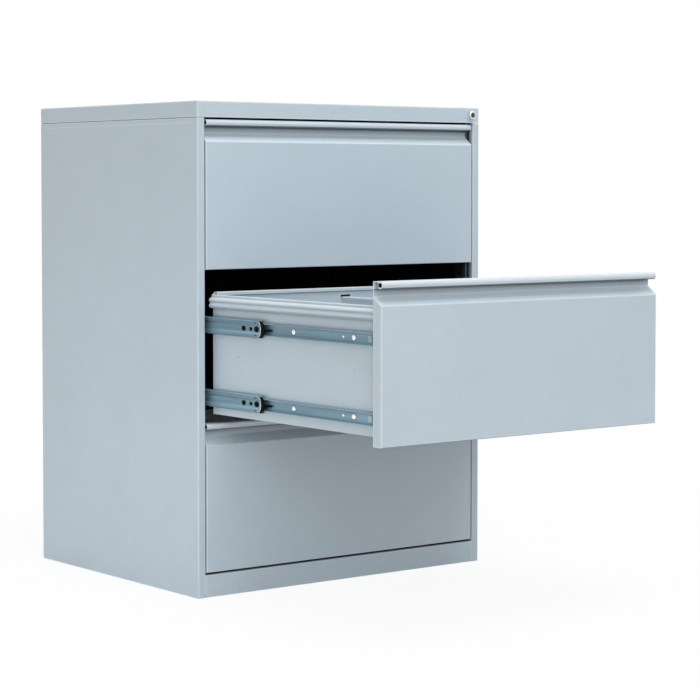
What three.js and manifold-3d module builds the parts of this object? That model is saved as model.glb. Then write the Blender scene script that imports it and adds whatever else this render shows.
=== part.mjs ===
// A steel filing cabinet with three full-extension drawers, the middle one pulled out.
// Millimetres. +X is the viewer's right, the fronts face -Y and +Z is up.
// The origin is on the floor, in the middle of the cabinet and its open drawer.

import * as THREE from "three";
import { mergeVertices } from "three/addons/utils/BufferGeometryUtils.js";
import Module from "manifold-3d";

const wasm = await Module();
wasm.setup();

// Overall sizes
const HEIGHT = 1030;
const WIDTH = 765;
const DEPTH = 640;
const TRAVEL = 580;
const LEVELS = ["bottom", "middle", "top"];
const OPEN_LEVEL = "middle";

// Sheet metal and fits
const SHEET = 1;
const BEND = 1;
const FIT = 0.3;
const ARC_STEPS = 3;
const SHARPEST_SMOOTH_TURN = 0.5;

// Carcass
const LID_HEIGHT = 34;
const LID_ROUND = 2.5;
const LID_SEAM = 1;
const LID_RETURN = 20;
const JOGGLE_LAP = 10;
const JOGGLE_END_ROOM = 25;
const PLINTH_HEIGHT = 47;
const PLINTH_RETURN = 30;
const STILE = 18;
const STILE_RETURN = 18;
const REAR_FLANGE = 20;

// Posts that carry the slides
const POST_WIDTH = 30;
const POST_PROUD = 6;
const POST_REAR_ROOM = 50;
const POST_SLOT_WIDTH = 14;
const POST_SLOT_HEIGHT = 5;
const POST_SLOT_PITCH = 45;

// Drawer fronts
const FRONT_GAP = 4;
const FRONT_SIDE_GAP = 3;
const FRONT_SHEET = 1.2;
const PAN_DEPTH = 25;
const PAN_ROUND = 2;
const PULL_HEIGHT = 46;
const BEVEL_RISE = 18;
const LIP_HEIGHT = 14;
const LIP_DEPTH = 13;
const LIP_ROUND = 5;
const LIP_INSET = 2;
const LIP_BORE_DEPTH = 9.5;
const LIP_BORE_HEIGHT = 7.5;
const LIP_BORE_ROUND = 3.5;
const LIP_WEB = 2;

// Drawer trays
const TRAY_RAISE = 16;
const TRAY_DROP = 53;
const TRAY_REAR_ROOM = 61;
const HOOK_EDGE_RISE = 6.5;
const HOOK_EDGE_WIDTH = 5;
const BACK_WALL_RISE = 11.5;
const BACK_WALL_ROUND = 6;
const HEM_HEIGHT = 7.5;
const HEM_DEPTH = 5;
const FRONT_WALL_DROP = 8;
const RIM_HEIGHT = 21.5;
const RIM_REACH = 7;
const BEAD_BULGE = 3.5;
const BEADS = 2;
const BEAD_STEPS = 4;
const TRAY_HOLE = 3.5;
const TRAY_HOLE_RISE = 124;
const TRAY_HOLE_FRONT = 103;
const TRAY_HOLE_SPAN = 387;

// Centre rail for the hanging files
const RAIL_WIDTH = 22;
const RAIL_HEIGHT = 16;
const RAIL_TAB = 4;
const RAIL_SLOT_WIDTH = 26;
const RAIL_SLOT_HEIGHT = 5.5;
const RAIL_SLOT_DROP = 16;

// Telescopic slides
const SLIDE_THICKNESS = 12.7;
const SLIDE_SHEET = 1.3;
const LOWER_SLIDE_RAISE = 34;
const UPPER_SLIDE_DROP = 57;
const OUTER_HEIGHT = 45;
const CARRIER_HEIGHT = 35;
const INNER_HEIGHT = 24.5;
const SLIDE_RUNNING_GAP = 0.5;
const OUTER_LIP_ROOM = 1.5;
const SLIDE_FRONT_ROOM = 1.5;
const OUTER_REAR_ROOM = 30;
const CARRIER_SETBACK = 106;
const CARRIER_REAR_ROOM = 25;
const GROOVE_DEPTH = 1.5;
const GROOVE_HEIGHT = 14;
const GROOVE_SLOPE = 3.2;
const INNER_REAR_ROOM = 6;
const CARRIER_HOLES = [
  { depth: 14, width: 12 },
  { depth: 34, width: 8 },
  { depth: 59, width: 10.5 },
];

// Cam lock and its bar
const LOCK_INSET = 27;
const BEZEL_RADIUS = 9;
const BEZEL_PROUD = 11;
const BEZEL_CHAMFER = 1;
const LOCK_RADIUS = 7.5;
const LOCK_LENGTH = 20;
const PLUG_RADIUS = 6;
const PLUG_GAP = 0.1;
const PLUG_TAIL_RADIUS = 3;
const KEYWAY_WIDTH = 1.6;
const KEYWAY_HEIGHT = 7;
const KEYWAY_DEPTH = 8;
const CAM_SHEET = 2;
const CAM_REACH = 15.6;
const CAM_END_RADIUS = 4.5;
const CAM_REST_ANGLE = Math.PI / 4;
const PIN_RADIUS = 2;
const PIN_LENGTH = 4.5;
const BAR_SHEET = 1.5;
const BAR_WIDTH = 10;
const BAR_WALL = 1.8;
const BAR_SLOT_ROOM = 0.8;
const BAR_FOOT_ROOM = 25;
const BAR_TAB = 4;
const ROUND_SIDES = 20;
const HOLE_SIDES = 12;

// Sizes that follow from the ones above
const halfWidth = WIDTH / 2;
const frontY = (TRAVEL - DEPTH) / 2;
const lidBottom = HEIGHT - LID_HEIGHT;
const sideTop = lidBottom - LID_SEAM;
const lidSeat = HEIGHT - LID_ROUND - FIT;
const sideInner = halfWidth - SHEET;
const stileInner = halfWidth - STILE;
const frontHeight = (lidBottom - PLINTH_HEIGHT - FRONT_GAP) / LEVELS.length - FRONT_GAP;
const frontHalf = stileInner - FRONT_SIDE_GAP;
const baseHalf = stileInner - FIT;
const postFace = stileInner - POST_PROUD;
const slideSeat = postFace - FIT;
const trayHalf = slideSeat - SLIDE_THICKNESS - FIT;
const trayRim = frontHeight - TRAY_DROP;
const hookEdge = trayRim + HOOK_EDGE_RISE;
const backWallTop = trayRim + BACK_WALL_RISE;
const trayFront = PAN_DEPTH + FIT;
const trayBack = DEPTH - TRAY_REAR_ROOM;
const slideFront = PAN_DEPTH + SLIDE_FRONT_ROOM;
const slideHeights = { lower: TRAY_RAISE + LOWER_SLIDE_RAISE, upper: trayRim - UPPER_SLIDE_DROP };
const backPlane = DEPTH - SHEET - FIT;
const lockX = halfWidth - LOCK_INSET;
const lockZ = HEIGHT - LID_HEIGHT / 2;
const camFront = LOCK_LENGTH + FIT;
const barFront = camFront + CAM_SHEET + 2 * FIT;
const postFront = Math.max(barFront + BAR_SHEET, PAN_DEPTH) + FIT;
const postRear = DEPTH - POST_REAR_ROOM - POST_WIDTH;
const SIDES = { left: -1, right: 1 };

function levelBottom(level) {
  return PLINTH_HEIGHT + FRONT_GAP + LEVELS.indexOf(level) * (frontHeight + FRONT_GAP);
}

function pulledOut(level) {
  return level === OPEN_LEVEL ? TRAVEL : 0;
}

// Finishes

function finish(color, roughness, metalness) {
  return new THREE.MeshStandardMaterial({ color, roughness, metalness });
}

const finishes = {
  paint: () => finish(0xb4c3cd, 0.45, 0.1),
  zinc: () => finish(0xa9bac4, 0.35, 0.9),
  chrome: () => finish(0xdfe2e4, 0.12, 1),
  steel: () => finish(0x8d9399, 0.4, 0.9),
};

// Outlines

function turnAt(before, corner, after) {
  const along = new THREE.Vector2().subVectors(corner, before).normalize();
  const next = new THREE.Vector2().subVectors(after, corner).normalize();
  return { along, next, angle: Math.atan2(along.cross(next), along.dot(next)) };
}

// A corner as an arc of the given radius, or as itself where the line hardly turns.
function roundedCorner(before, corner, after, radiusOf) {
  const { along, angle } = turnAt(before, corner, after);
  const radius = radiusOf(angle);
  if (Math.abs(angle) < SHARPEST_SMOOTH_TURN || radius === 0) {
    return [corner];
  }
  const start = corner.clone().addScaledVector(along, -radius * Math.tan(Math.abs(angle) / 2));
  const inward = new THREE.Vector2(-along.y, along.x).multiplyScalar(Math.sign(angle) * radius);
  const centre = start.clone().add(inward);
  return Array.from({ length: ARC_STEPS + 1 }, (_, step) =>
    start.clone().rotateAround(centre, (angle * step) / ARC_STEPS));
}

function roundedLine(points, radiusOf) {
  const middle = points.slice(1, -1).flatMap((corner, index) =>
    roundedCorner(points[index], corner, points[index + 2], radiusOf));
  return [points[0], ...middle, points[points.length - 1]];
}

// A closed outline whose corners have the given radii, one for each point.
function outline(corners, radii) {
  const points = corners.map(([x, y]) => new THREE.Vector2(x, y));
  return new THREE.Shape(points.flatMap((corner, index) => {
    const before = points.at(index - 1);
    const after = points.at(index + 1 - points.length);
    return roundedCorner(before, corner, after, () => radii[index]);
  }));
}

// The line moved to its left by a distance, with mitred corners.
function movedLine(points, distance) {
  return points.map((point, index) => {
    const before = points[index - 1] ?? point.clone().multiplyScalar(2).sub(points[index + 1]);
    const after = points[index + 1] ?? point.clone().multiplyScalar(2).sub(points[index - 1]);
    const { along, next, angle } = turnAt(before, point, after);
    const across = new THREE.Vector2(-along.y - next.y, along.x + next.x).normalize();
    return point.clone().addScaledVector(across, distance / Math.cos(angle / 2));
  });
}

// The section of a folded sheet: one face follows the corners and the sheet lies to the left of
// their direction, or to the right if the thickness is negative.
function foldedSheet(corners, thickness, bend = BEND) {
  const face = corners.map(([x, y]) => new THREE.Vector2(x, y));
  const outerBend = bend + Math.abs(thickness);
  const moved = movedLine(face, thickness);
  const near = roundedLine(face, (angle) => (angle * thickness > 0 ? outerBend : bend));
  const far = roundedLine(moved, (angle) => (angle * thickness > 0 ? bend : outerBend));
  return new THREE.Shape([...near, ...far.reverse()]);
}

function circlePath(x, y, radius, sides) {
  const points = Array.from({ length: sides }, (_, step) =>
    new THREE.Vector2(radius, 0).rotateAround(new THREE.Vector2(), (2 * Math.PI * step) / sides));
  return new THREE.Path(points.map((point) => point.add(new THREE.Vector2(x, y))));
}

// Solids swept along an axis, or turned

const AXIS_X = new THREE.Vector3(1, 0, 0);
const AXIS_Y = new THREE.Vector3(0, 1, 0);
const AXIS_Z = new THREE.Vector3(0, 0, 1);

function swept(shape, length) {
  return new THREE.ExtrudeGeometry(shape, { depth: length, bevelEnabled: false, steps: 1 });
}

function alongZ(shape, low, high) {
  return swept(shape, high - low).translate(0, 0, low);
}

// The shape is drawn in Y and Z.
function alongX(shape, low, high) {
  const turn = new THREE.Matrix4().makeBasis(AXIS_Y, AXIS_Z, AXIS_X);
  return swept(shape, high - low).applyMatrix4(turn).translate(low, 0, 0);
}

// The shape is drawn in X and Z.
function alongY(shape, low, high) {
  const turn = new THREE.Matrix4().makeBasis(AXIS_X, AXIS_Z, AXIS_Y.clone().negate());
  return swept(shape, high - low).applyMatrix4(turn).translate(0, high, 0);
}

function block([x0, x1], [y0, y1], [z0, z1]) {
  const size = [x1 - x0, y1 - y0, z1 - z0].map(Math.abs);
  return new THREE.BoxGeometry(...size).translate((x0 + x1) / 2, (y0 + y1) / 2, (z0 + z1) / 2);
}

function rodAlongY(x, z, radius, low, high, sides = ROUND_SIDES) {
  const rod = new THREE.CylinderGeometry(radius, radius, high - low, sides);
  return rod.translate(x, (low + high) / 2, z);
}

function rodAlongX(y, z, radius, low, high, sides = HOLE_SIDES) {
  const rod = new THREE.CylinderGeometry(radius, radius, high - low, sides);
  return rod.rotateZ(Math.PI / 2).translate((low + high) / 2, y, z);
}

// Joining and cutting

function solid(geometry) {
  const bare = geometry.clone();
  bare.deleteAttribute("normal");
  bare.deleteAttribute("uv");
  const merged = mergeVertices(bare);
  return new wasm.Manifold(new wasm.Mesh({
    numProp: 3,
    vertProperties: Float32Array.from(merged.attributes.position.array),
    triVerts: Uint32Array.from(merged.index.array),
  }));
}

function surface(body) {
  const mesh = body.getMesh();
  const geometry = new THREE.BufferGeometry();
  geometry.setAttribute("position", new THREE.BufferAttribute(mesh.vertProperties, 3));
  geometry.setIndex(new THREE.BufferAttribute(mesh.triVerts, 1));
  geometry.computeVertexNormals();
  return geometry;
}

function joined(geometries) {
  return geometries.map(solid).reduce((whole, part) => whole.add(part));
}

function cut(body, geometries) {
  return geometries.map(solid).reduce((whole, part) => whole.subtract(part), body);
}

function addPiece(group, name, geometry, material) {
  const mesh = new THREE.Mesh(geometry, material);
  mesh.name = name;
  group.add(mesh);
  return mesh;
}

// Carcass

function sidePanel(side) {
  const folds = [
    [side * stileInner, STILE_RETURN],
    [side * stileInner, 0],
    [side * halfWidth, 0],
    [side * halfWidth, DEPTH],
    [side * (halfWidth - REAR_FLANGE), DEPTH],
  ];
  const panel = alongZ(foldedSheet(folds, side * SHEET), 0, sideTop);
  // The joggled top edge stands inside the rim of the lid.
  const rimInner = sideInner - FIT;
  const joggle = outline([
    [side * (rimInner - SHEET), sideTop - JOGGLE_LAP],
    [side * (halfWidth - SHEET / 2), sideTop - JOGGLE_LAP],
    [side * (halfWidth - SHEET / 2), sideTop - LID_SEAM],
    [side * rimInner, sideTop],
    [side * rimInner, lidSeat],
    [side * (rimInner - SHEET), lidSeat],
  ], [0, 0, 0, 0, 0, 0]);
  const edge = alongY(joggle, JOGGLE_END_ROOM, DEPTH - JOGGLE_END_ROOM);
  return surface(joined([panel, edge]));
}

function backPanel() {
  const half = sideInner - BEND - FIT;
  return block([-half, half], [backPlane - SHEET, backPlane], [FIT, lidSeat]);
}

// A block with rounded upper edges and corners.
function lidBlock(inset, bottom) {
  const [x, y0, y1, top] = [halfWidth - inset, inset, DEPTH - inset, HEIGHT - inset];
  const round = Math.max(LID_ROUND - inset, 0);
  const across = outline([[-x, bottom], [x, bottom], [x, top], [-x, top]], [0, 0, round, round]);
  const endways = outline([[y0, bottom], [y1, bottom], [y1, top], [y0, top]], [0, 0, round, round]);
  const plan = outline([[-x, y0], [x, y0], [x, y1], [-x, y1]], [round, round, round, round]);
  return solid(alongY(across, y0, y1))
    .intersect(solid(alongX(endways, -x, x)))
    .intersect(solid(alongZ(plan, bottom, top)));
}

function topPanel() {
  const shell = lidBlock(0, lidBottom).subtract(lidBlock(SHEET, lidBottom - SHEET));
  const half = sideInner + SHEET / 2;
  const railReturn = block([-half, half], [SHEET / 2, LID_RETURN], [lidBottom, lidBottom + SHEET]);
  const lockHole = rodAlongY(lockX, lockZ, LOCK_RADIUS + FIT, -SHEET, 2 * SHEET);
  return surface(cut(shell.add(solid(railReturn)), [lockHole]));
}

function basePanel() {
  const back = backPlane - SHEET - FIT;
  const folds = [
    [PLINTH_RETURN, 0],
    [0, 0],
    [0, PLINTH_HEIGHT],
    [back, PLINTH_HEIGHT],
    [back, 0],
    [back - PLINTH_RETURN, 0],
  ];
  return alongX(foldedSheet(folds, -SHEET), -baseHalf, baseHalf);
}

// A slotted channel that stands on the base, open towards the side panel.
function post(side, low) {
  const outer = sideInner - FIT;
  const folds = [
    [side * outer, low],
    [side * postFace, low],
    [side * postFace, low + POST_WIDTH],
    [side * outer, low + POST_WIDTH],
  ];
  const top = sideTop - JOGGLE_LAP - FIT;
  const channel = solid(alongZ(foldedSheet(folds, -side * SHEET), PLINTH_HEIGHT + FIT, top));
  const web = [side * (postFace - SHEET), side * (postFace + 2 * SHEET)];
  const across = [low + (POST_WIDTH - POST_SLOT_WIDTH) / 2, low + (POST_WIDTH + POST_SLOT_WIDTH) / 2];
  const slotCount = Math.floor((top - PLINTH_HEIGHT) / POST_SLOT_PITCH);
  const slots = Array.from({ length: slotCount }, (_, step) => {
    const bottom = PLINTH_HEIGHT + (step + 0.5) * POST_SLOT_PITCH;
    return block(web, across, [bottom, bottom + POST_SLOT_HEIGHT]);
  });
  return surface(cut(channel, slots));
}

// Slide members: their sections are drawn from the cabinet's seat (0) to the drawer's side.

function slideSection(side, height, folds, thickness) {
  const places = folds.map(([reach, rise]) => [side * (slideSeat - reach), height + rise]);
  return foldedSheet(places, thickness * side);
}

function outerMember(side, height) {
  const half = OUTER_HEIGHT / 2;
  const reach = SLIDE_THICKNESS - OUTER_LIP_ROOM;
  const folds = [[reach, half], [0, half], [0, -half], [reach, -half]];
  const section = slideSection(side, height, folds, -SLIDE_SHEET);
  return alongY(section, slideFront, DEPTH - OUTER_REAR_ROOM);
}

// The web is pressed in along its middle, between the two ball races.
function carrierMember(side, height) {
  const half = CARRIER_HEIGHT / 2;
  const web = SLIDE_SHEET + SLIDE_RUNNING_GAP;
  const reach = SLIDE_THICKNESS - OUTER_LIP_ROOM;
  const grooveHalf = GROOVE_HEIGHT / 2;
  const folds = [
    [reach, half],
    [web, half],
    [web, grooveHalf + GROOVE_SLOPE],
    [web + GROOVE_DEPTH, grooveHalf],
    [web + GROOVE_DEPTH, -grooveHalf],
    [web, -grooveHalf - GROOVE_SLOPE],
    [web, -half],
    [reach, -half],
  ];
  const section = slideSection(side, height, folds, -SLIDE_SHEET);
  const middle = side * (slideSeat - web);
  const halfThrough = GROOVE_DEPTH + 2 * SLIDE_SHEET;
  const through = [middle - halfThrough, middle + halfThrough];
  const holes = CARRIER_HOLES.map(({ depth, width }) =>
    rodAlongX(CARRIER_SETBACK + depth, height, width / 2, ...through));
  return surface(cut(solid(alongY(section, CARRIER_SETBACK, DEPTH - CARRIER_REAR_ROOM)), holes));
}

function innerMember(side, height) {
  const half = INNER_HEIGHT / 2;
  const tip = 2 * (SLIDE_SHEET + SLIDE_RUNNING_GAP);
  const web = SLIDE_THICKNESS;
  const folds = [[tip, half], [web, half], [web, -half], [tip, -half]];
  const section = slideSection(side, height, folds, SLIDE_SHEET);
  return alongY(section, slideFront, trayBack - INNER_REAR_ROOM);
}

// Drawer front: a folded pan, whose top edge is bevelled back under a rolled tube lip.
function drawerFront() {
  const recessBack = PAN_DEPTH - FRONT_SHEET;
  const faceTop = frontHeight - PULL_HEIGHT;
  const bevelTop = faceTop + BEVEL_RISE;
  const folds = [[PAN_DEPTH, 0], [0, 0], [0, faceTop], [recessBack, bevelTop], [recessBack, frontHeight]];
  const face = alongX(foldedSheet(folds, -FRONT_SHEET), -frontHalf, frontHalf);
  const bend = BEND + FRONT_SHEET;
  const cheek = outline(
    [[PAN_DEPTH, 0], [0, 0], [0, faceTop], [recessBack, bevelTop], [PAN_DEPTH, bevelTop]],
    [0, bend, bend, 0, 0],
  );
  const cheeks = Object.values(SIDES).map((side) => {
    const ends = [side * frontHalf, side * (frontHalf - FRONT_SHEET)];
    return alongX(cheek, Math.min(...ends), Math.max(...ends));
  });
  const plan = outline(
    [[-frontHalf, 0], [frontHalf, 0], [frontHalf, PAN_DEPTH], [-frontHalf, PAN_DEPTH]],
    [PAN_ROUND, PAN_ROUND, 0, 0],
  );
  const pan = joined([face, ...cheeks]).intersect(solid(alongZ(plan, 0, frontHeight)));
  const lipBottom = frontHeight - LIP_HEIGHT;
  const tube = outline(
    [[0, lipBottom], [LIP_DEPTH, lipBottom], [LIP_DEPTH, frontHeight], [0, frontHeight]],
    [LIP_ROUND, LIP_ROUND, LIP_ROUND, LIP_ROUND],
  );
  const boreY = [(LIP_DEPTH - LIP_BORE_DEPTH) / 2, (LIP_DEPTH + LIP_BORE_DEPTH) / 2];
  const boreTop = frontHeight - (LIP_HEIGHT - LIP_BORE_HEIGHT) / 2;
  const boreBottom = boreTop - LIP_BORE_HEIGHT;
  tube.holes.push(outline(
    [[boreY[0], boreBottom], [boreY[1], boreBottom], [boreY[1], boreTop], [boreY[0], boreTop]],
    [LIP_BORE_ROUND, LIP_BORE_ROUND, LIP_BORE_ROUND, LIP_BORE_ROUND],
  ));
  const lipHalf = frontHalf - LIP_INSET;
  const lip = alongX(tube, -lipHalf, lipHalf);
  const webZ = [frontHeight - LIP_WEB, frontHeight];
  const web = block([-lipHalf, lipHalf], [LIP_DEPTH - LIP_ROUND, PAN_DEPTH], webZ);
  return surface(pan.add(solid(lip)).add(solid(web)));
}

// The outer face of a rim band, from its free edge upwards, with its rolled beads.
function rimBand() {
  const beadHeight = RIM_HEIGHT / BEADS;
  const count = BEADS * BEAD_STEPS;
  return Array.from({ length: count + 1 }, (_, step) => {
    const wave = Math.abs(Math.sin((Math.PI * step) / BEAD_STEPS));
    const rise = (beadHeight * step) / BEAD_STEPS;
    return [trayHalf + RIM_REACH + BEAD_BULGE * wave, trayRim - RIM_HEIGHT + rise];
  });
}

// The side walls end in an edge for the files' hooks, above the shoulder of a rim band.
function trayWrap() {
  const wallInner = trayHalf - SHEET;
  const edgeOuter = wallInner + HOOK_EDGE_WIDTH;
  const rightSide = [
    [wallInner, TRAY_RAISE + SHEET],
    [wallInner, hookEdge],
    [edgeOuter, hookEdge],
    [edgeOuter, trayRim],
    ...rimBand().reverse(),
  ];
  const leftSide = rightSide.map(([x, z]) => [-x, z]).reverse();
  return alongY(foldedSheet([...leftSide, ...rightSide], -SHEET), trayFront, trayBack);
}

// The back wall has round upper corners and a hem turned over to the inside.
function trayBackWall() {
  const plate = outline(
    [[-trayHalf, TRAY_RAISE], [trayHalf, TRAY_RAISE], [trayHalf, backWallTop], [-trayHalf, backWallTop]],
    [0, 0, BACK_WALL_ROUND, BACK_WALL_ROUND],
  );
  const folds = [
    [trayBack - HEM_DEPTH, backWallTop - HEM_HEIGHT],
    [trayBack - HEM_DEPTH, backWallTop],
    [trayBack, backWallTop],
    [trayBack, backWallTop - HEM_HEIGHT],
  ];
  const hemHalf = trayHalf - BACK_WALL_ROUND;
  const hem = alongX(foldedSheet(folds, -SHEET), -hemHalf, hemHalf);
  return [alongY(plate, trayBack - SHEET, trayBack), hem];
}

function drawerTray() {
  // The front wall carries the drawer front, against the back of its finger recess.
  const frontWallZ = [TRAY_RAISE, frontHeight - FRONT_WALL_DROP];
  const frontWall = block([-trayHalf, trayHalf], [trayFront, trayFront + SHEET], frontWallZ);
  const slotTop = backWallTop - RAIL_SLOT_DROP;
  const slot = block(
    [-RAIL_SLOT_WIDTH / 2, RAIL_SLOT_WIDTH / 2],
    [trayFront - SHEET, trayBack + SHEET],
    [slotTop - RAIL_SLOT_HEIGHT, slotTop],
  );
  const holes = [TRAY_HOLE_FRONT, TRAY_HOLE_FRONT + TRAY_HOLE_SPAN].map((depth) =>
    rodAlongX(depth, TRAY_RAISE + TRAY_HOLE_RISE, TRAY_HOLE / 2, -trayHalf - SHEET, trayHalf + SHEET));
  return surface(cut(joined([trayWrap(), frontWall, ...trayBackWall()]), [slot, ...holes]));
}

// An upturned channel between the tray's end walls, with a tab through the slot of each.
function fileRail() {
  const half = RAIL_WIDTH / 2;
  const bottom = backWallTop - RAIL_SLOT_DROP - RAIL_SLOT_HEIGHT + FIT;
  const top = bottom + SHEET;
  const ends = [trayFront + SHEET + FIT, trayBack - SHEET - FIT];
  const folds = [[-half, top - RAIL_HEIGHT], [-half, top], [half, top], [half, top - RAIL_HEIGHT]];
  const channel = alongY(foldedSheet(folds, -SHEET), ...ends);
  const tabHalf = half - BEND - SHEET;
  const tab = block([-tabHalf, tabHalf], [ends[0] - RAIL_TAB, ends[1] + RAIL_TAB], [bottom, top]);
  return surface(joined([channel, tab]));
}

// Lock: drawn about the axis of its plug, with the front of the cabinet at Y = 0.

function lockHousing() {
  const bore = PLUG_RADIUS + PLUG_GAP;
  const profile = [
    [bore, -BEZEL_PROUD],
    [BEZEL_RADIUS - BEZEL_CHAMFER, -BEZEL_PROUD],
    [BEZEL_RADIUS, -BEZEL_PROUD + BEZEL_CHAMFER],
    [BEZEL_RADIUS, -FIT],
    [LOCK_RADIUS, -FIT],
    [LOCK_RADIUS, LOCK_LENGTH],
    [bore, LOCK_LENGTH],
    [bore, -BEZEL_PROUD],
  ];
  return new THREE.LatheGeometry(profile.map(([r, y]) => new THREE.Vector2(r, y)), ROUND_SIDES);
}

function lockPlug() {
  const body = rodAlongY(0, 0, PLUG_RADIUS, -BEZEL_PROUD, LOCK_LENGTH);
  const tail = rodAlongY(0, 0, PLUG_TAIL_RADIUS, LOCK_LENGTH - SHEET, camFront + CAM_SHEET, HOLE_SIDES);
  const keyway = block(
    [-KEYWAY_WIDTH / 2, KEYWAY_WIDTH / 2],
    [-2 * BEZEL_PROUD, KEYWAY_DEPTH - BEZEL_PROUD],
    [-KEYWAY_HEIGHT / 2, KEYWAY_HEIGHT / 2],
  );
  return surface(cut(joined([body, tail]), [keyway]));
}

function lockCam() {
  const r = CAM_END_RADIUS;
  const plate = outline([[-r, -r], [CAM_REACH + r, -r], [CAM_REACH + r, r], [-r, r]], [r, r, r, r]);
  plate.holes.push(circlePath(0, 0, PLUG_TAIL_RADIUS + FIT, HOLE_SIDES));
  const lever = alongY(plate, camFront, camFront + CAM_SHEET);
  const pin = rodAlongY(CAM_REACH, 0, PIN_RADIUS, camFront, camFront + CAM_SHEET + PIN_LENGTH, HOLE_SIDES);
  return surface(joined([lever, pin]).rotate([0, (-CAM_REST_ANGLE * 180) / Math.PI, 0]));
}

// A flat bar whose head has a cross slot for the pin of the cam, with a catch tab for each drawer.
function lockBar() {
  const pinZ = CAM_REACH * Math.sin(CAM_REST_ANGLE);
  const room = PIN_RADIUS + BAR_SLOT_ROOM;
  const slotX = [CAM_REACH * Math.cos(CAM_REST_ANGLE) - room, CAM_REACH + room];
  const depths = [barFront, barFront + BAR_SHEET];
  const head = block(
    [slotX[0] - BAR_WALL, slotX[1] + BAR_WALL],
    depths,
    [pinZ - room - BAR_WIDTH / 2, pinZ + room + BAR_WALL],
  );
  const middle = (slotX[0] + slotX[1]) / 2;
  const width = [middle - BAR_WIDTH / 2, middle + BAR_WIDTH / 2];
  const strip = block(width, depths, [PLINTH_HEIGHT + BAR_FOOT_ROOM - lockZ, pinZ - room - BAR_WALL]);
  const tabs = LEVELS.map((level) => {
    const bottom = levelBottom(level) + frontHeight / 2 - lockZ;
    return block(width, [barFront - BAR_TAB, barFront + BAR_SHEET], [bottom, bottom + BAR_SHEET]);
  });
  const slot = block(slotX, [barFront - SHEET, barFront + BAR_SHEET + SHEET], [pinZ - room, pinZ + room]);
  return surface(cut(joined([head, strip, ...tabs]), [slot]));
}

// Assembly

const cabinet = new THREE.Group();
cabinet.position.y = frontY;

for (const [name, side] of Object.entries(SIDES)) {
  addPiece(cabinet, `side_panel_${name}`, sidePanel(side), finishes.paint());
  addPiece(cabinet, `upright_front_${name}`, post(side, postFront), finishes.paint());
  addPiece(cabinet, `upright_rear_${name}`, post(side, postRear), finishes.paint());
}
addPiece(cabinet, "back_panel", backPanel(), finishes.paint());
addPiece(cabinet, "top_panel", topPanel(), finishes.paint());
addPiece(cabinet, "base_panel", basePanel(), finishes.paint());

for (const level of LEVELS) {
  const drawer = new THREE.Group();
  drawer.position.set(0, -pulledOut(level), levelBottom(level));
  addPiece(drawer, `drawer_front_${level}`, drawerFront(), finishes.paint());
  addPiece(drawer, `drawer_tray_${level}`, drawerTray(), finishes.paint());
  addPiece(drawer, `file_rail_${level}`, fileRail(), finishes.paint());

  const carriers = new THREE.Group();
  carriers.position.set(0, -pulledOut(level) / 2, levelBottom(level));
  const bay = new THREE.Group();
  bay.position.z = levelBottom(level);

  for (const [sideName, side] of Object.entries(SIDES)) {
    for (const [row, height] of Object.entries(slideHeights)) {
      const place = `${level}_${sideName}_${row}`;
      addPiece(bay, `slide_outer_${place}`, outerMember(side, height), finishes.zinc());
      addPiece(carriers, `slide_carrier_${place}`, carrierMember(side, height), finishes.zinc());
      addPiece(drawer, `slide_inner_${place}`, innerMember(side, height), finishes.zinc());
    }
  }
  cabinet.add(bay, carriers, drawer);
}

const lock = new THREE.Group();
lock.position.set(lockX, 0, lockZ);
addPiece(lock, "lock_housing", lockHousing(), finishes.chrome());
addPiece(lock, "lock_plug", lockPlug(), finishes.chrome());
addPiece(lock, "lock_cam", lockCam(), finishes.steel());
addPiece(lock, "lock_bar", lockBar(), finishes.steel());
cabinet.add(lock);

export default cabinet;
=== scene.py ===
"""Steel filing cabinet: finishes, small fittings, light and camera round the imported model."""

import math

import bmesh
import bpy
from mathutils import Matrix, Vector


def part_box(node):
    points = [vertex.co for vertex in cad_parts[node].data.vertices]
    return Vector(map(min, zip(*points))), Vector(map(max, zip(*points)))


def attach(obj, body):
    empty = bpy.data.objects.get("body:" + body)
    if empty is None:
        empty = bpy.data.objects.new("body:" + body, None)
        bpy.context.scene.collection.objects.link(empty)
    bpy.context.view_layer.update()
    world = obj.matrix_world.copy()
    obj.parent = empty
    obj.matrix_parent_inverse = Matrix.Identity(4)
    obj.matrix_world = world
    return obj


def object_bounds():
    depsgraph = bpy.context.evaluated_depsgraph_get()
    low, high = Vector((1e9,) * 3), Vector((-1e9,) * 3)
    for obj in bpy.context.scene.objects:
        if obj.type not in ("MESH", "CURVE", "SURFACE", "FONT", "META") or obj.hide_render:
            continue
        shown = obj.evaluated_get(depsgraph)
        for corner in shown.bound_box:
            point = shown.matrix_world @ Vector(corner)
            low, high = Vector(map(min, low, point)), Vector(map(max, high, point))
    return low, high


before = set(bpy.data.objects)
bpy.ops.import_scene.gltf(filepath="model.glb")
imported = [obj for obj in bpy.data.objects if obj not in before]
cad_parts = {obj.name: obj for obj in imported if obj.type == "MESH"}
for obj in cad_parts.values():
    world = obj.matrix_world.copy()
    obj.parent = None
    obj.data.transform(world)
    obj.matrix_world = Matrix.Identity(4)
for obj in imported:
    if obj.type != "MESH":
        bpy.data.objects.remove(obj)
CAD_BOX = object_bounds()
MM = 0.001

# The camera, fitted to the corners of the cabinet and of its open drawer
CAMERA_PLACE = (-2.9157, -3.8138, 0.8584)
CAMERA_TURN = math.radians(-37.748)
CAMERA_TILT = math.radians(2.488)
CAMERA_LENS = 113.647
CAMERA_SENSOR = 36
CAMERA_SHIFT = -0.10
CAMERA_REACH = 100

# Stage
WORLD_LIGHT = 0.34
FLOOR_SIZE = 30.0
FLOOR_COLOUR = (0.9, 0.9, 0.9)
FLOOR_ROUGH = 0.8
FLOOR_SPECULAR = 0.1
FLOOR_GLOW = 0.92
FLOOR_FADE = (0.9, 2.4)

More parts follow.
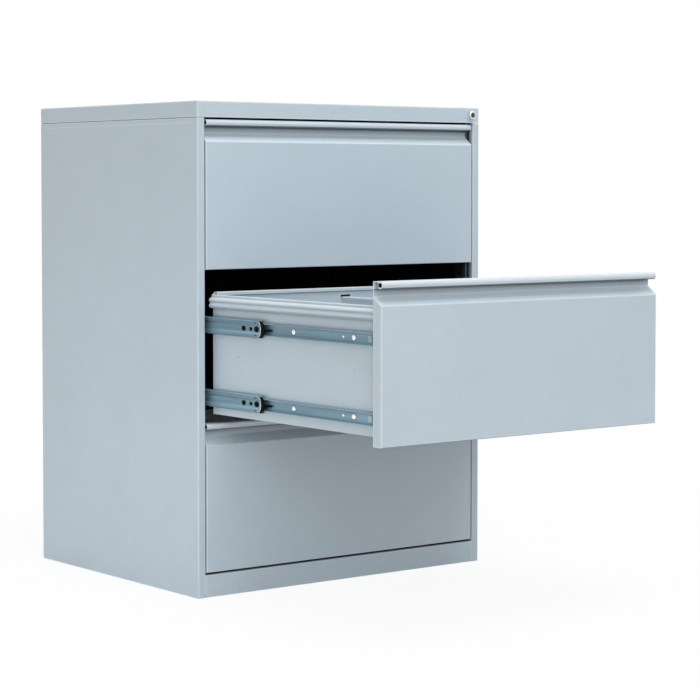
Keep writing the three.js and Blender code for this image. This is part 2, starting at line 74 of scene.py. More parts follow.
# Lamps: place, target and size in metres, power in watts, and whether surfaces mirror the lamp
LAMPS = {
    "key": ((-3.6, -8.1, 3.6), (0, 0, 0.5), (7.0, 5.0), 390, False),
    "top": ((-0.2, -0.6, 3.6), (-0.2, -0.3, 0.5), (2.5, 2.5), 80, True),
    "back": ((3.0, 6.0, 3.0), (0, 0.3, 0.5), (5.0, 4.0), 160, False),
    "low": ((-1.6, 0.2, 0.1), (-0.4, 0.2, 0.15), (1.6, 0.2), 3.8, True),
}

# Colours, linear
PAINT = (0.47, 0.55, 0.61)
# Painted highlight: the pale colour laid on convex edges and on the lip
PAINT_HIGHLIGHT = (0.82, 0.87, 0.90)
# Painted shade: near-black colours laid inside the cabinet, in the lip bore and on the posts
INSIDE_SHADE = (0.004, 0.0045, 0.005)
POST_SHADE = (0.012, 0.013, 0.014)
ZINC = (0.155, 0.265, 0.33)
# Painted highlight: the pale colour laid on the plating's edges
ZINC_HIGHLIGHT = (0.60, 0.74, 0.82)
SCREW = (0.80, 0.86, 0.90)
CLIP = (0.27, 0.37, 0.40)
CHROME = (0.80, 0.81, 0.82)
BRONZE = (0.10, 0.07, 0.05)
BLACK = (0.004, 0.004, 0.0045)

# Shades, as factors of a finish's colour: random tone, painted shade and painted highlights
MOTTLE_SHADE = 0.95
# Painted shade in folds and recesses, on the carcass and trays and on the fronts
FOLD_SHADE = 0.12
FRONT_FOLD_SHADE = 0.6
# Painted shade in the trays' bead creases and on their undersides, and a painted highlight on their tops
CREASE_SHADE = 0.5
BEAD_UNDER_SHADE = 0.55
BEAD_TOP_HIGHLIGHT = 1.25
# Painted highlight on the fronts' bevels
BEVEL_HIGHLIGHT = 1.28
# Painted shade under the lip and in the finger recess
LIP_UNDER_SHADE = 0.15
RECESS_SHADE = 0.03
STREAK_SHADES = (0.75, 1.2)
ZINC_CLOUD_SHADE = 1.15
# Painted highlight on plating that looks up, and painted shade on plating that looks down
ZINC_TOP_HIGHLIGHT = 1.6
ZINC_UNDER_SHADE = 0.5
# Painted highlights on the edges of the bronze and of the nylon
BRONZE_HIGHLIGHT = 2.5
NYLON_HIGHLIGHT = 3.0

# Noises: cells per metre, detail, and the stretch of a drawn grain
PAINT_CLOUD = (9.0, 4.0)
PAINT_FLECK = (75.0, 2.0)
PAINT_SHEEN = (60.0, 3.0)
PAINT_PEEL = (1100.0, 2.0)
ZINC_GRAIN = (260.0, 3.0, (1.0, 0.03, 1.0))
ZINC_CLOUD = (24.0, 3.0, (1.0, 0.3, 1.0))
ZINC_STREAK = (170.0, 2.0, (1.0, 0.02, 1.0))
CHROME_HAZE = (700.0, 2.0)
NYLON_GRAIN = (1500.0, 2.0)
NOISE_LIMITS = (0.3, 0.7)
STREAK_LIMITS = (0.38, 0.62)

# How much a mask counts
CLOUD_SHARE = 0.6
FLECK_SHARE = 0.4
# Shares of the painted highlights on edges and on the lip
EDGE_HIGHLIGHT_SHARE = 0.7
LIP_WEAR = 0.35
# The painted shade in the finger recess: its share at the recess's foot, and how fast it grows towards the
# lip
RECESS_FOOT = 0.1
RECESS_POWER = 4.0

# Gloss: ranges of roughness, specular levels, metal and coat
PAINT_ROUGH = (0.36, 0.46)
PAINT_SPECULAR = 0.4
ZINC_ROUGH = (0.32, 0.46)
SCREW_ROUGH = (0.18, 0.3)
ZINC_METAL = 0.45
BRIGHT_METAL = 0.85
COAT_WEIGHT = 0.1
COAT_ROUGH = 0.25
CHROME_ROUGH = (0.06, 0.14)
NYLON_ROUGH = (0.5, 0.65)
NYLON_SPECULAR = 0.03

# Bumps: strength and depth
PAINT_BUMP = (0.12, 0.12 * MM)
ZINC_BUMP = (0.15, 0.1 * MM)
CHROME_BUMP = (0.03, 0.05 * MM)
NYLON_BUMP = (0.2, 0.08 * MM)

# Softened edges: radii, and the likeness to the face at which an edge starts and ends
PAINT_ROUND = 2.2 * MM
# Radius of the edge mask that carries the painted highlight on edges
HIGHLIGHT_ROUND = 3.5 * MM
ZINC_ROUND = 1.0 * MM
CHROME_ROUND = 0.4 * MM
NYLON_ROUND = 0.5 * MM
EDGE_LIMITS = (0.75, 0.995)
# Limits of the edge mask for the painted highlight on edges
HIGHLIGHT_LIMITS = (0.85, 0.998)
BEVEL_SAMPLES = 6

# Painted shade in folds and creases: how far the finish looks for other faces, and where it counts as
# closed and open
FOLD_REACH = 30 * MM
FOLD_LIMITS = (0.25, 0.7)
CREASE_REACH = 10 * MM
CREASE_LIMITS = (0.5, 0.95)
FOLD_SAMPLES = 8

# Slopes: the rise of a face's normal at which a painted shade or painted highlight starts and is full
BEAD_UNDER = (-0.1, -0.5)
BEAD_OVER = (0.2, 0.6)
BEVEL_RISE = (0.2, 0.5)
LIP_UNDER = (-0.35, -0.8)
ZINC_OVER = (0.15, 0.6)
ZINC_UNDER = (-0.15, -0.6)

# Sheet metal of the solids, for the masks of the materials
SKIN = 0.8 * MM
# Depths behind the front at which the painted shade inside the cabinet starts and is full
STILE_LIT = 3 * MM
STILE_RETURN = 16 * MM
LIP_HEIGHT = 14 * MM
LIP_DEPTH = 13 * MM
LIP_WALL = (1.6 * MM, 3.1 * MM)
RECESS_HEIGHT = 14 * MM
PAN_DEPTH = 25 * MM

# Screws, rivets and end clips of the inner slide members, with depths from the drawer's front
SCREW_RADIUS = 6.2 * MM
SCREW_HEIGHT = 2.0 * MM
SCREW_DEPTHS = (102 * MM, 295 * MM)
SCREW_SIDES = 24
CROWN_ANGLES = (0.0, 0.4, 0.8, 1.2)
DIMPLE_SHARES = ((0.28, 0.9), (0.2, 0.45), (0, 0.4))
RIVET_RADIUS = 3.2 * MM
RIVET_HEIGHT = 0.7 * MM
RIVET_DEPTH = 135 * MM
RIVET_SIDES = 20
CLIP_DEPTHS = (46 * MM, 57 * MM)
CLIP_HALF = 6.5 * MM
CLIP_CUT = CLIP_HALF / 3
CLIP_SHEET = 1.0 * MM

# Bumpers, levers and buttons of the carriers. An arc is given by its reach at the tips and in the middle
SLIDE_SHEET = 1.3 * MM
GROOVE_DEPTH = 1.5 * MM
BUMPER_HALF = 17.0 * MM
BUMPER_HEIGHT = SLIDE_SHEET + 0.25 * MM
BUMPER_FRONT = (-2.5 * MM, 15 * MM)
BUMPER_BACK = (-8 * MM, 3 * MM)
# The back arc of the plate that stands as a painted highlight on the carrier's edge behind the bumper
HIGHLIGHT_ARC_BACK = (-9.5 * MM, 1 * MM)
ARC_STEPS = 16
LEVER_REACH = 31 * MM
LEVER_HALF = 2.2 * MM
LEVER_BLUNT = 0.4 * LEVER_HALF
LEVER_DROP = 1.5 * MM
LEVER_CLEARANCE = 0.4 * MM
BUTTONS = ((14 * MM, 6.1 * MM), (34 * MM, 4.0 * MM), (59 * MM, 5.3 * MM))
BUTTON_STRETCH = 1.4
BUTTON_EDGE = (0.9, 0.85)
BUTTON_SIDES = 28
PIP_DEPTH = 17 * MM
PIP_RISE = 12.5 * MM
PIP_RADIUS = 1.5 * MM

LEVELS = ("top", "middle", "bottom")
SIDES = {"left": -1, "right": 1}
ROWS = ("upper", "lower")


# Node helpers


class Shader:
    """A new material with its principled shader, and short ways to add and join nodes."""

    def __init__(self, name):
        self.material = bpy.data.materials.new(name)
        self.material.use_nodes = True
        self.tree = self.material.node_tree
        self.shader = self.tree.nodes["Principled BSDF"]
        self.face = self.add("ShaderNodeNewGeometry").outputs["True Normal"]
        self.coordinates = self.add("ShaderNodeTexCoord").outputs["Object"]
        self.axes = self.add("ShaderNodeSeparateXYZ")
        self.join(self.coordinates, self.axes.inputs[0])

    def add(self, kind, **settings):
        node = self.tree.nodes.new(kind)
        for key, value in settings.items():
            setattr(node, key, value)
        return node

    def join(self, source, target):
        self.tree.links.new(source, target)

    def feed(self, **sources):
        """Join outputs to sockets of the principled shader."""
        for key, source in sources.items():
            self.join(source, self.shader.inputs[key.replace("_", " ")])

    def set(self, **values):
        """Set sockets of the principled shader to numbers and colours."""
        for key, value in values.items():
            socket = self.shader.inputs[key.replace("_", " ")]
            socket.default_value = (*value, 1) if isinstance(value, tuple) else value

    def math(self, operation, first, second):
        """A sum on two values, each an output or a number."""
        node = self.add("ShaderNodeMath", operation=operation)
        for socket, value in zip(node.inputs, (first, second)):
            if isinstance(value, (int, float)):
                socket.default_value = value
            else:
                self.join(value, socket)
        return node.outputs[0]

    def noise(self, scale, detail, stretch=None):
        """Noise in object space, in cells per metre, drawn out along an axis by stretch."""
        node = self.add("ShaderNodeTexNoise")
        node.inputs["Scale"].default_value = scale
        node.inputs["Detail"].default_value = detail
        source = self.coordinates
        if stretch:
            mapping = self.add("ShaderNodeMapping")
            mapping.inputs["Scale"].default_value = stretch
            self.join(source, mapping.inputs["Vector"])
            source = mapping.outputs["Vector"]
        self.join(source, node.inputs["Vector"])
        return node.outputs["Fac"]

    def spread(self, value, low, high, limits=NOISE_LIMITS):
        """An output taken from low to high while a value goes from the first limit to the second."""
        node = self.add("ShaderNodeMapRange")
        for key, number in zip(("From Min", "From Max", "To Min", "To Max"), (*limits, low, high)):
            node.inputs[key].default_value = number
        self.join(value, node.inputs["Value"])
        return node.outputs["Result"]

    def blend(self, factor, first, second):
        """Colours, or outputs that give them, mixed by a factor output."""
        node = self.add("ShaderNodeMix", data_type="RGBA")
        self.join(factor, node.inputs["Factor"])
        for socket, value in zip(node.inputs[6:8], (first, second)):
            if isinstance(value, tuple):
                socket.default_value = (*value, 1)
            else:
                self.join(value, socket)
        return node.outputs[2]

    def rounded(self, radius):
        """The normal with softened edges."""
        bevel = self.add("ShaderNodeBevel", samples=BEVEL_SAMPLES)
        bevel.inputs["Radius"].default_value = radius
        return bevel.outputs["Normal"]

    def edges(self, normal, limits=EDGE_LIMITS):
        """A mask that is 1 where a softened normal leaves the face."""
        likeness = self.add("ShaderNodeVectorMath", operation="DOT_PRODUCT")
        self.join(normal, likeness.inputs[0])
        self.join(self.face, likeness.inputs[1])
        return self.spread(likeness.outputs["Value"], 1.0, 0.0, limits)

    def openness(self, reach, limits):
        """1 on open faces and 0 deep in the object's own folds and recesses."""
        node = self.add("ShaderNodeAmbientOcclusion", samples=FOLD_SAMPLES, only_local=True)
        node.inputs["Distance"].default_value = reach
        return self.spread(node.outputs["AO"], 0.0, 1.0, limits)

    def sloped(self, limits):
        """A mask that goes from 0 to 1 as the rise of a face's normal goes between the limits."""
        rise = self.add("ShaderNodeSeparateXYZ")
        self.join(self.face, rise.inputs[0])
        return self.spread(rise.outputs["Z"], 0.0, 1.0, limits)

    def bump(self, height, strength, depth, normal):
        node = self.add("ShaderNodeBump")
        node.inputs["Strength"].default_value = strength
        node.inputs["Distance"].default_value = depth
        self.join(height, node.inputs["Height"])
        self.join(normal, node.inputs["Normal"])
        self.feed(Normal=node.outputs["Normal"])


# Masks, in the coordinates of the part at rest


def box_mask(low, high):
    """A mask that is 1 inside a box."""

    def mask(shader):
        inside = None
        for index, name in enumerate("XYZ"):
            for operation, bound in (("GREATER_THAN", low[index]), ("LESS_THAN", high[index])):
                test = shader.math(operation, shader.axes.outputs[name], bound)
                inside = test if inside is None else shader.math("MULTIPLY", inside, test)
        return inside

    return mask


def carcass_shade_mask(back):
    """Painted shade inside the cabinet's shell: it sets in along the stiles' returns and ends at a depth.
    """
    low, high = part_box("top_panel")
    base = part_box("base_panel")[1][2]
    start = (low[0] + SKIN, low[1] + SKIN, base - SKIN / 2)
    shell = box_mask(start, (high[0] - SKIN, back, high[2] - SKIN))
    returns = (low[1] + STILE_LIT, low[1] + STILE_RETURN)

    def mask(shader):
        depth = shader.spread(shader.axes.outputs["Y"], 0.0, 1.0, returns)
        return shader.math("MULTIPLY", shell(shader), depth)

    return mask


def lip_bore_shade_mask(level):
    """Painted shade in the bore of the tube lip along the top of a drawer front."""
    low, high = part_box(f"drawer_front_{level}")
    start = (low[0] + SKIN, low[1] + LIP_WALL[0], high[2] - LIP_HEIGHT + LIP_WALL[1])
    end = (high[0] - SKIN, low[1] + LIP_DEPTH - LIP_WALL[0], high[2] - LIP_WALL[1])
    return box_mask(start, end)


def lip_highlight_zone(level):
    """The upper half of the tube lip, where a painted highlight is laid on."""
    low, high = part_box(f"drawer_front_{level}")
    start = (low[0] - SKIN, low[1] - SKIN, high[2] - LIP_HEIGHT / 2)
    return box_mask(start, (high[0] + SKIN, low[1] + LIP_DEPTH + SKIN, high[2] + SKIN))


def pull_recess(level):
    """Painted shade on the wall of the finger recess: faint at its foot, full below the lip, and 0
    elsewhere.
    """
    low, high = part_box(f"drawer_front_{level}")
    brink = high[2] - LIP_HEIGHT
    foot = brink - RECESS_HEIGHT
    start = (low[0] + SKIN / 2, low[1] + LIP_DEPTH - SKIN, foot)
    wall = box_mask(start, (high[0] - SKIN / 2, low[1] + PAN_DEPTH + SKIN, brink))

    def mask(shader):
        rise = shader.spread(shader.axes.outputs["Z"], 0.0, 1.0, (foot, brink))
        growth = shader.math("MULTIPLY", shader.math("POWER", rise, RECESS_POWER), 1 - RECESS_FOOT)
        return shader.math("MULTIPLY", wall(shader), shader.math("ADD", growth, RECESS_FOOT))

    return mask


# Materials


def tinted(colour, factor):
    """A colour made darker or paler, but no brighter than white."""
    return tuple(min(1.0, factor * channel) for channel in colour)


def mottled_paint(shader):
    """The coat's colour with wide clouds and fine flecks."""
    cloud = shader.spread(shader.noise(*PAINT_CLOUD), 0.0, CLOUD_SHARE)
    fleck = shader.spread(shader.noise(*PAINT_FLECK), 0.0, FLECK_SHARE)
    return shader.blend(shader.math("ADD", cloud, fleck), tinted(PAINT, MOTTLE_SHADE), PAINT)


def painted_bead_shade_and_highlight(shader, colour):
    """Painted shade in the creases and on the undersides of the trays' beads, and a painted highlight on
    their tops.
    """
    opened = shader.openness(CREASE_REACH, CREASE_LIMITS)
    colour = shader.blend(opened, tinted(PAINT, CREASE_SHADE), colour)
    colour = shader.blend(shader.sloped(BEAD_UNDER), colour, tinted(PAINT, BEAD_UNDER_SHADE))
    return shader.blend(shader.sloped(BEAD_OVER), colour, tinted(PAINT, BEAD_TOP_HIGHLIGHT))


def painted_bevel_highlight(shader, colour, lip):
    """Painted highlight: paler faces that look up, apart from the lip."""
    bevel = shader.math("SUBTRACT", shader.sloped(BEVEL_RISE), lip)
    return shader.blend(bevel, colour, tinted(PAINT, BEVEL_HIGHLIGHT))


def painted_pull_shade_and_highlight(shader, colour, lip, level):
    """A drawer's pull: painted shade below the lip and in the finger recess, and a painted highlight on the
    lip.
    """
    colour = shader.blend(shader.sloped(LIP_UNDER), colour, tinted(PAINT, LIP_UNDER_SHADE))
    colour = shader.blend(pull_recess(level)(shader), colour, tinted(PAINT, RECESS_SHADE))
    # Painted highlight on the top of the lip
    return shader.blend(shader.math("MULTIPLY", lip, LIP_WEAR), colour, PAINT_HIGHLIGHT)


def painted_steel(name, inside=None, shade_colour=INSIDE_SHADE, fold_shade=FOLD_SHADE, beaded=False, level=None):
    """Satin powder coat: fine orange peel and faint mottling, with painted highlights on convex edges and
    painted shade in folds and recesses.

    The inside is a mask of where painted shade is laid on. A level makes it the coat of that drawer's
    front, with the painted shade and highlights of its pull and bevel.
    """
    shader = Shader(name)
    opened = shader.openness(FOLD_REACH, FOLD_LIMITS)
    # Mask for the painted highlight on convex edges
    edge = shader.math("MULTIPLY", shader.edges(shader.rounded(HIGHLIGHT_ROUND), HIGHLIGHT_LIMITS), opened)
    lip = lip_highlight_zone(level)(shader) if level else None
    colour = mottled_paint(shader)
    if beaded:
        colour = painted_bead_shade_and_highlight(shader, colour)
    # Painted shade in the coat's own folds and recesses
    colour = shader.blend(opened, tinted(PAINT, fold_shade), colour)
    if level:
        colour = painted_bevel_highlight(shader, colour, lip)
    # Painted highlight on convex edges
    colour = shader.blend(shader.math("MULTIPLY", edge, EDGE_HIGHLIGHT_SHARE), colour, PAINT_HIGHLIGHT)
    if level:
        colour = painted_pull_shade_and_highlight(shader, colour, lip, level)
    rough = shader.spread(shader.noise(*PAINT_SHEEN), *PAINT_ROUGH)
    # Painted shade where the inside mask is on
    if inside:
        painted_shade = inside(shader)
        colour = shader.blend(painted_shade, colour, shade_colour)
        rough = shader.math("MAXIMUM", rough, painted_shade)
    shader.feed(Base_Color=colour, Roughness=rough)
    shader.set(Specular_IOR_Level=PAINT_SPECULAR)
    shader.bump(shader.noise(*PAINT_PEEL), *PAINT_BUMP, shader.rounded(PAINT_ROUND))
    return shader.material


def plated_metal(name, colour=ZINC, highlight_colour=ZINC_HIGHLIGHT, rough=ZINC_ROUGH, metal=ZINC_METAL):
    """Passivated plating drawn along Y, in streaks and clouds, with painted highlights on its edges and on
    faces that look up, and painted shade on faces that look down.
    """
    shader = Shader(name)
    normal = shader.rounded(ZINC_ROUND)
    grain = shader.noise(*ZINC_GRAIN)
    cloud = shader.spread(shader.noise(*ZINC_CLOUD), 0.0, CLOUD_SHARE)
    streak = shader.spread(shader.noise(*ZINC_STREAK), 0.0, 1.0, STREAK_LIMITS)
    dark, pale = (tinted(colour, shade) for shade in STREAK_SHADES)
    tone = shader.blend(streak, dark, pale)
    tone = shader.blend(cloud, tone, tinted(colour, ZINC_CLOUD_SHADE))
    # Painted light: paler plating that looks up, darker plating that looks down, and pale edges as painted
    # highlights
    tone = shader.blend(shader.sloped(ZINC_OVER), tone, tinted(colour, ZINC_TOP_HIGHLIGHT))
    tone = shader.blend(shader.sloped(ZINC_UNDER), tone, tinted(colour, ZINC_UNDER_SHADE))
    tone = shader.blend(shader.edges(normal), tone, highlight_colour)
    shader.feed(Base_Color=tone, Roughness=shader.spread(grain, *rough))
    shader.set(Metallic=metal, Coat_Weight=COAT_WEIGHT, Coat_Roughness=COAT_ROUGH)
    shader.bump(grain, *ZINC_BUMP, normal)
    return shader.material


def polished_chrome(name):
    """Mirror plating with a trace of haze."""
    shader = Shader(name)
    haze = shader.noise(*CHROME_HAZE)
    shader.feed(Roughness=shader.spread(haze, *CHROME_ROUGH))
    shader.set(Base_Color=CHROME, Metallic=1.0)
    shader.bump(haze, *CHROME_BUMP, shader.rounded(CHROME_ROUND))
    return shader.material


def black_plastic(name):
    """Moulded nylon with a fine spark-eroded grain and a faint painted highlight on its edges."""
    shader = Shader(name)
    normal = shader.rounded(NYLON_ROUND)
    grain = shader.noise(*NYLON_GRAIN)
    # Painted highlight: edges a little paler than the black
    colour = shader.blend(shader.edges(normal), BLACK, tinted(BLACK, NYLON_HIGHLIGHT))
    shader.feed(Base_Color=colour, Roughness=shader.spread(grain, *NYLON_ROUGH))
    shader.set(Specular_IOR_Level=NYLON_SPECULAR)
    shader.bump(grain, *NYLON_BUMP, normal)
    return shader.material


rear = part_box("top_panel")[1][1] - SKIN
back_middle = sum(corner[1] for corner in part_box("back_panel")) / 2
carcass_paint = painted_steel("carcass_powder_coat", carcass_shade_mask(rear))
post_paint = painted_steel("post_powder_coat", carcass_shade_mask(rear), POST_SHADE)
back_paint = painted_steel("back_powder_coat", carcass_shade_mask(back_middle))
drawer_paint = painted_steel("drawer_powder_coat", beaded=True)
front_paint = {
    level: painted_steel(
        f"front_powder_coat_{level}",
        lip_bore_shade_mask(level),
        fold_shade=FRONT_FOLD_SHADE,
        level=level,
    )
    for level in LEVELS
}
slide_zinc = plated_metal("slide_zinc")
clip_zinc = plated_metal("clip_zinc", CLIP)
screw_zinc = plated_metal("screw_zinc", SCREW, SCREW, SCREW_ROUGH, BRIGHT_METAL)
chrome = polished_chrome("lock_chrome")
bronze = plated_metal("lock_bronze", BRONZE, tinted(BRONZE, BRONZE_HIGHLIGHT), metal=BRIGHT_METAL)
steel = plated_metal("lock_steel")
nylon = black_plastic("black_nylon")


def dress(node, material):
    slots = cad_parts[node].data.materials
    slots.clear()
    slots.append(material)


def dress_frame():
    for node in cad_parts:
        if node.startswith("slide_"):
            dress(node, slide_zinc)
        elif node.startswith("upright_"):
            dress(node, post_paint)
        elif node.startswith("drawer_front_"):
            dress(node, front_paint[node.removeprefix("drawer_front_")])
        elif node.startswith(("drawer_", "file_rail_")):
            dress(node, drawer_paint)
        elif node == "back_panel":
            dress(node, back_paint)
        elif node == "lock_housing":
            dress(node, chrome)
        elif node == "lock_plug":
            dress(node, bronze)
        elif node.startswith("lock_"):
            dress(node, steel)
        else:
            dress(node, carcass_paint)


# Mesh helpers


def new_piece(name, mesh, material, body):
    """Turn a bmesh into an object that rides on a body."""
    data = bpy.data.meshes.new(name)
    bmesh.ops.recalc_face_normals(mesh, faces=mesh.faces)
    mesh.to_mesh(data)
    mesh.free()
    data.materials.append(material)
    piece = bpy.data.objects.new(name, data)
    bpy.context.scene.collection.objects.link(piece)
    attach(piece, body)


def turned(mesh, profile, matrix, sides):
    """Add a solid of revolution. The profile holds radius and height and starts and ends on the axis."""
    angles = [2 * math.pi * step / sides for step in range(sides)]
    rings = []
    for radius, height in profile:
        if radius == 0:
            rings.append([mesh.verts.new(matrix @ Vector((0, 0, height)))])
            continue
        ring = [Vector((radius * math.cos(a), radius * math.sin(a), height)) for a in angles]
        rings.append([mesh.verts.new(matrix @ point) for point in ring])
    for lower, upper in zip(rings, rings[1:]):
        for step in range(sides):
            after = (step + 1) % sides
            corners = [lower[step % len(lower)], lower[after % len(lower)]]
            corners += [upper[after % len(upper)], upper[step % len(upper)]]
            face = mesh.faces.new(list(dict.fromkeys(corners)))
            face.smooth = True


def plate(mesh, outline, matrix, thickness):
    """Add a flat plate: its outline lies in X and Y and it rises along Z."""
    low = [mesh.verts.new(matrix @ Vector((x, y, 0))) for x, y in outline]
    high = [mesh.verts.new(matrix @ Vector((x, y, thickness))) for x, y in outline]
    mesh.faces.new(low)
    mesh.faces.new(high)
    for step in range(len(outline)):
        after = (step + 1) % len(outline)
        mesh.faces.new((low[step], low[after], high[after], high[step]))


def outward(side, place):
    """A frame at a place whose Z points out of that side of the cabinet, with Y up."""
    z_axis = Vector((side, 0, 0))
    y_axis = Vector((0, 0, 1))
    x_axis = y_axis.cross(z_axis)
    matrix = Matrix((x_axis, y_axis, z_axis)).transposed().to_4x4()
    return Matrix.Translation(place) @ matrix


def frontward(side, place):
    """The same frame with X to the drawers' fronts on both sides, so that one of them is mirrored."""
    return outward(side, place) @ Matrix.Diagonal((-side, 1, 1, 1))


# Slide fittings


def inner_member(place):
    """The floor of an inner slide member, by its distance from the cabinet's middle, and its mid height."""
    low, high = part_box(f"slide_inner_{place}")
    return min(abs(low[0]), abs(high[0])) + SLIDE_SHEET, (low[2] + high[2]) / 2


def carrier_end(place):
    """The front end of a carrier: its web's inner face from the cabinet's middle, its Y and mid height."""
    low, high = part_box(f"slide_carrier_{place}")
    return max(abs(low[0]), abs(high[0])) - SLIDE_SHEET, low[1], (low[2] + high[2]) / 2


def screw_profile(radius, height):
    """A low domed head with a dimple in the middle."""
    crown = [(radius * math.cos(angle), height * math.sin(angle)) for angle in CROWN_ANGLES]
    dimple = [(radius * across, height * along) for across, along in DIMPLE_SHARES]
    return [(0, 0), *crown, *dimple]


def slide_screws(level, side, place):
    """The screws and the rivet that hold a slide's inner member to the tray."""
    web, middle = inner_member(place)
    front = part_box(f"drawer_front_{level}")[0][1]
    mesh = bmesh.new()
    for depth in SCREW_DEPTHS:
        matrix = outward(side, (side * web, front + depth, middle))
        turned(mesh, screw_profile(SCREW_RADIUS, SCREW_HEIGHT), matrix, SCREW_SIDES)
    matrix = outward(side, (side * web, front + RIVET_DEPTH, middle))
    turned(mesh, screw_profile(RIVET_RADIUS, RIVET_HEIGHT), matrix, RIVET_SIDES)
    new_piece(f"slide_screws_{place}", mesh, screw_zinc, f"drawer_{level}")


def slide_clip(level, side, place):
    """The end clip in a slide's inner member, with its front corners cut off."""
    web, middle = inner_member(place)
    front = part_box(f"drawer_front_{level}")[0][1]
    near, far = (front + depth for depth in CLIP_DEPTHS)
    reach = (far - near) / 2
    outline = [
        (-reach, -CLIP_HALF),
        (reach - CLIP_CUT, -CLIP_HALF),
        (reach, -CLIP_HALF + CLIP_CUT),
        (reach, CLIP_HALF - CLIP_CUT),
        (reach - CLIP_CUT, CLIP_HALF),
        (-reach, CLIP_HALF),
    ]
    mesh = bmesh.new()
    plate(mesh, outline, frontward(side, (side * web, (near + far) / 2, middle)), CLIP_SHEET)
    new_piece(f"slide_clip_{place}", mesh, clip_zinc, f"drawer_{level}")


def crescent(front, back):
    """A plate outline between two arcs."""
    angles = [math.pi * (step / ARC_STEPS - 0.5) for step in range(ARC_STEPS + 1)]

    def arc(tips, middle):
        return [(tips + (middle - tips) * math.cos(a), BUMPER_HALF * math.sin(a)) for a in angles]

    return arc(*front) + arc(*back)[::-1]


def release_lever(mesh, side, place):
    """Add the lever that lies in the inner member's channel, and the root that joins it to the bumper."""
    web, end, middle = carrier_end(place)
    floor = inner_member(place)[0] + SCREW_HEIGHT + LEVER_CLEARANCE
    sunk = frontward(side, (side * floor, end, middle))
    start = BUMPER_BACK[1] + LEVER_HALF
    stop = BUMPER_FRONT[1]
    shoulder = LEVER_REACH - LEVER_HALF
    low = -LEVER_DROP - LEVER_HALF
    high = -LEVER_DROP + LEVER_HALF
    lever = [
        (start, low),
        (shoulder, low),
        (LEVER_REACH, -LEVER_DROP - LEVER_BLUNT),
        (LEVER_REACH, -LEVER_DROP + LEVER_BLUNT),
        (shoulder, high),
        (start, high),
    ]
    plate(mesh, lever, sunk, SLIDE_SHEET)
    plate(mesh, [(start, low), (stop, low), (stop, high), (start, high)], sunk, web - floor)


def slide_bumper(level, side, place):
    """The black end stop of a slide's carrier, with its release lever, pips and buttons."""
    web, end, middle = carrier_end(place)
    face = frontward(side, (side * web, end, middle))
    mesh = bmesh.new()
    plate(mesh, crescent(BUMPER_FRONT, BUMPER_BACK), face, BUMPER_HEIGHT)
    release_lever(mesh, side, place)
    pips = [(PIP_DEPTH, rise, PIP_RADIUS, 0) for rise in (-PIP_RISE, PIP_RISE)]
    buttons = [(depth, 0, radius, GROOVE_DEPTH) for depth, radius in BUTTONS]
    for depth, rise, radius, below in pips + buttons:
        matrix = outward(side, (side * (web - below), end + depth, middle + rise))
        edge = (BUTTON_EDGE[0] * radius, BUMPER_HEIGHT)
        rim = (radius, BUTTON_EDGE[1] * BUMPER_HEIGHT)
        profile = [(0, 0), (radius, 0), rim, edge, (0, BUMPER_HEIGHT)]
        turned(mesh, profile, matrix @ Matrix.Diagonal((BUTTON_STRETCH, 1, 1, 1)), BUTTON_SIDES)
    new_piece(f"slide_bumper_{place}", mesh, nylon, f"carriers_{level}")


def slide_edge_highlight(level, side, place):
    """A painted highlight on the carrier's edge round the back of its bumper: a thin plate in the bright
    screw plating.
    """
    web, end, middle = carrier_end(place)
    face = frontward(side, (side * web, end, middle))
    mesh = bmesh.new()
    plate(mesh, crescent(BUMPER_BACK, HIGHLIGHT_ARC_BACK), face, BUMPER_HEIGHT)
    new_piece(f"slide_edge_highlight_{place}", mesh, screw_zinc, f"carriers_{level}")


def fit_slides():
    for level in LEVELS:
        for side_name, side in SIDES.items():
            for row in ROWS:
                place = f"{level}_{side_name}_{row}"
                slide_screws(level, side, place)
                slide_clip(level, side, place)
                slide_bumper(level, side, place)
                slide_edge_highlight(level, side, place)


# Stage: a pale floor that fades into a white background, soft lamps, and the camera


def tree_math(tree, operation, first, second):
    """A sum on two outputs in a node tree."""
    node = tree.nodes.new("ShaderNodeMath")
    node.operation = operation
    tree.links.new(first, node.inputs[0])
    tree.links.new(second, node.inputs[1])
    return node.outputs[0]


def white_seen_directly(tree, strength):
    """A strength output: 1 for what is seen, mirrored or seen through, and another for diffuse light."""
    path = tree.nodes.new("ShaderNodeLightPath").outputs
    mirrored = tree_math(tree, "MAXIMUM", path["Is Glossy Ray"], path["Is Transmission Ray"])
    seen = tree_math(tree, "MAXIMUM", path["Is Camera Ray"], mirrored)
    level = tree.nodes.new("ShaderNodeMapRange")
    level.inputs["To Min"].default_value = strength
    level.inputs["To Max"].default_value = 1.0
    tree.links.new(seen, level.inputs["Value"])
    return level.outputs["Result"]


def make_world():
    world = bpy.data.worlds.new("studio")
    bpy.context.scene.world = world
    world.use_nodes = True
    tree = world.node_tree
    background = tree.nodes["Background"]
    background.inputs["Color"].default_value = (1, 1, 1, 1)
    tree.links.new(white_seen_directly(tree, WORLD_LIGHT), background.inputs["Strength"])


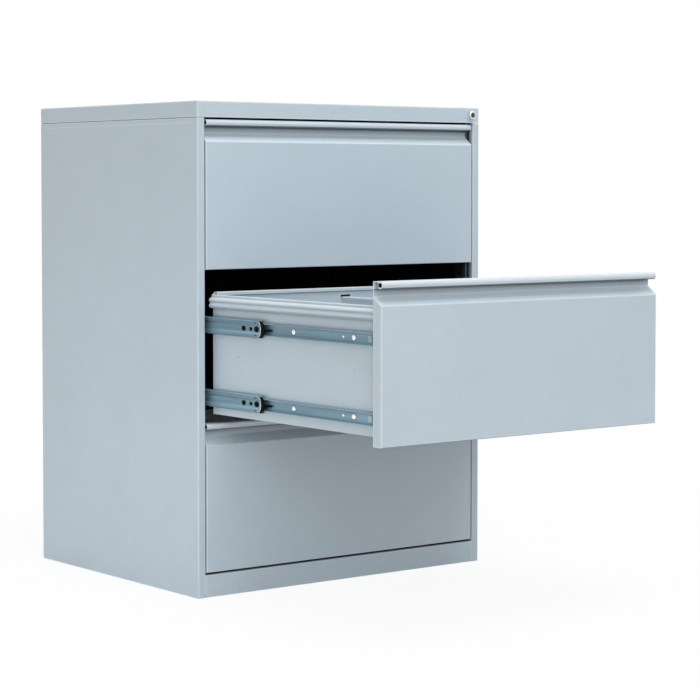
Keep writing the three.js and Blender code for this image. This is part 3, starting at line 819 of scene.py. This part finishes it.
def floor_white():
    """A pale matt floor that keeps the shadow near the object and fades to white away from it."""
    material = bpy.data.materials.new("floor_white")
    material.use_nodes = True
    tree = material.node_tree
    shader = tree.nodes["Principled BSDF"]
    shader.inputs["Base Color"].default_value = (*FLOOR_COLOUR, 1)
    shader.inputs["Roughness"].default_value = FLOOR_ROUGH
    shader.inputs["Specular IOR Level"].default_value = FLOOR_SPECULAR
    glow = tree.nodes.new("ShaderNodeEmission")
    glow.inputs["Color"].default_value = (1, 1, 1, 1)
    place = tree.nodes.new("ShaderNodeNewGeometry")
    distance = tree.nodes.new("ShaderNodeVectorMath")
    distance.operation = "LENGTH"
    tree.links.new(place.outputs["Position"], distance.inputs[0])
    fade = tree.nodes.new("ShaderNodeMapRange")
    fade.interpolation_type = "SMOOTHSTEP"
    for key, value in zip(("From Min", "From Max", "To Min", "To Max"), (*FLOOR_FADE, FLOOR_GLOW, 1.0)):
        fade.inputs[key].default_value = value
    tree.links.new(distance.outputs["Value"], fade.inputs["Value"])
    path = tree.nodes.new("ShaderNodeLightPath").outputs
    mix = tree.nodes.new("ShaderNodeMixShader")
    shown = tree_math(tree, "MULTIPLY", path["Is Camera Ray"], fade.outputs["Result"])
    tree.links.new(shown, mix.inputs["Fac"])
    tree.links.new(shader.outputs["BSDF"], mix.inputs[1])
    tree.links.new(glow.outputs["Emission"], mix.inputs[2])
    tree.links.new(mix.outputs["Shader"], tree.nodes["Material Output"].inputs["Surface"])
    return material


def make_floor():
    bpy.ops.mesh.primitive_plane_add(size=FLOOR_SIZE, location=(0, 0, CAD_BOX[0][2]))
    floor = bpy.context.object
    floor.name = "floor"
    floor.data.materials.append(floor_white())


def area_lamp(name, place, target, size, power, mirrored):
    data = bpy.data.lights.new(name, "AREA")
    data.shape = "RECTANGLE"
    data.size, data.size_y = size
    data.energy = power
    lamp = bpy.data.objects.new(name, data)
    lamp.visible_camera = False
    lamp.visible_glossy = mirrored
    lamp.location = place
    lamp.rotation_euler = (Vector(target) - Vector(place)).to_track_quat("-Z", "Y").to_euler()
    bpy.context.scene.collection.objects.link(lamp)


def make_camera():
    data = bpy.data.cameras.new("camera")
    data.sensor_width = CAMERA_SENSOR
    data.lens = CAMERA_LENS
    data.shift_y = CAMERA_SHIFT
    data.clip_end = CAMERA_REACH
    camera = bpy.data.objects.new("camera", data)
    camera.location = CAMERA_PLACE
    camera.rotation_euler = (math.pi / 2 - CAMERA_TILT, 0, CAMERA_TURN)
    bpy.context.scene.collection.objects.link(camera)
    bpy.context.scene.camera = camera


dress_frame()
fit_slides()
make_world()
make_floor()
for name, settings in LAMPS.items():
    area_lamp(name, *settings)
make_camera()
bpy.context.scene.view_settings.view_transform = "Standard"
